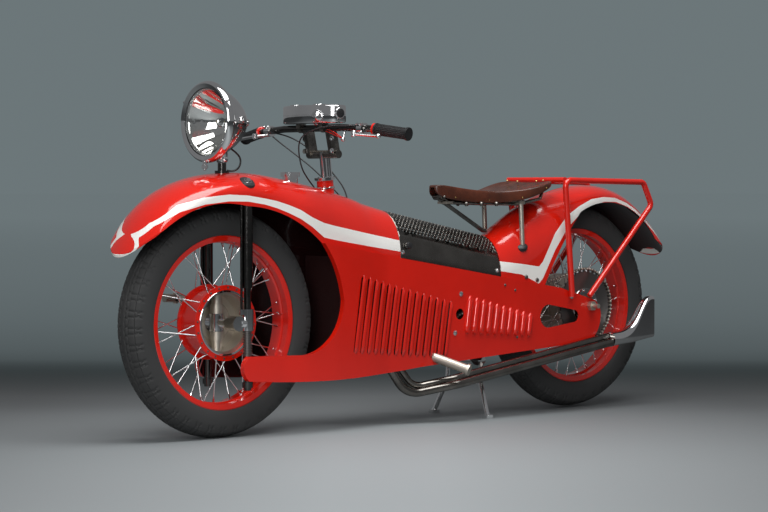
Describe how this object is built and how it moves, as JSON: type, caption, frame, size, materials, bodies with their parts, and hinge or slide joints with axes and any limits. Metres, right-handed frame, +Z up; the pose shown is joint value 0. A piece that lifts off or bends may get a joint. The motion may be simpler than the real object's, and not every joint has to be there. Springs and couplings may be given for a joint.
{
  "type": "vintage motorcycle",
  "caption": "Vintage motorcycle with enclosed pressed side plates, long flowing shells over both wheels and hub-centre steering, on its centre stand.",
  "frame": {"origin": "on the floor, under the middle of the machine's length and width, standing on its centre stand", "axes": "+X forward to the front wheel, +Y to the rider's left, +Z up"},
  "size_m": [2.29, 0.8024, 1.066],
  "materials": {
    "red_paint": "gloss",
    "red_white_paint": "gloss red with a white stripe",
    "nickel": "aged nickel plate",
    "bright_chrome": "polished",
    "dark_steel": "oiled",
    "lamp_glass": "clear",
    "tyre_rubber": "matte",
    "black_rubber": "satin",
    "brown_leather": "worn satin",
    "engine_alloy": "cast"
  },
  "bodies": {
    "frame": {"side_frame_left": "red_paint", "side_frame_right": "red_paint", "cross_members": "red_paint", "front_shell": "red_white_paint", "perforated_cover": "nickel", "rear_shell": "red_white_paint", "engine_block": "engine_alloy", "headlamp_bowl": "red_paint", "headlamp_rim": "bright_chrome", "headlamp_glass": "lamp_glass", "headlamp_stem": "nickel", "filler_cap": "bright_chrome", "column_collar": "red_paint", "fork_columns": "nickel", "fork_sliders": "red_paint", "rebound_springs": "dark_steel", "front_axle": "nickel", "saddle_leather": "brown_leather", "saddle_frame": "nickel", "rear_rack": "red_paint", "exhaust_pipes": "nickel", "exhaust_fishtail": "bright_chrome", "footrests": "nickel", "drive_chain": "dark_steel", "rear_axle": "nickel"},
    "handlebars": {"steering_column": "nickel", "handlebar_yoke": "nickel", "handlebar": "nickel", "grips": "black_rubber", "instrument_housing": "nickel", "control_levers": "nickel"},
    "hub_carrier": {"hub_carrier": "red_paint", "steering_arm": "red_paint"},
    "drag_link": {"drag_link": "nickel"},
    "front_wheel": {"front_tyre": "tyre_rubber", "front_rim": "red_paint", "front_spokes": "nickel", "front_hub": "red_paint"},
    "rear_wheel": {"rear_tyre": "tyre_rubber", "rear_rim": "red_paint", "rear_spokes": "nickel", "rear_hub": "red_paint", "rear_sprocket": "dark_steel"},
    "stand": {"centre_stand": "nickel"}
  },
  "joints": [
    {"name": "handlebar_steer", "type": "hinge", "parent": "frame", "child": "handlebars", "pos_m": [0.362, 0, 0.747], "axis": [0.1045, 0, 0.9945], "range_deg": [-12, 12]},
    {"name": "front_steer", "type": "hinge", "parent": "frame", "child": "hub_carrier", "pos_m": [0.7875, 0, 0.345], "axis": [0, 0, 1], "range_deg": [-12, 12]},
    {"name": "drag_link_swing", "type": "hinge", "parent": "handlebars", "child": "drag_link", "pos_m": [0.28948, -0.146, 0.39], "axis": [-0.0045, 0.0328, 0.9995], "range_deg": [-11, 11]},
    {"name": "front_wheel_spin", "type": "hinge", "parent": "hub_carrier", "child": "front_wheel", "pos_m": [0.7875, 0, 0.345], "axis": [0, 1, 0], "continuous": true},
    {"name": "rear_wheel_spin", "type": "hinge", "parent": "frame", "child": "rear_wheel", "pos_m": [-0.7175, 0, 0.349], "axis": [0, 1, 0], "continuous": true},
    {"name": "stand_fold", "type": "hinge", "parent": "frame", "child": "stand", "pos_m": [-0.235, 0, 0.186], "axis": [0, 1, 0], "range_deg": [0, 80]}
  ],
  "couplings": [
    {"joint": "front_steer", "follows": "handlebar_steer", "ratio": 0.9909},
    {"joint": "drag_link_swing", "follows": "handlebar_steer", "ratio": -0.8442}
  ]
}
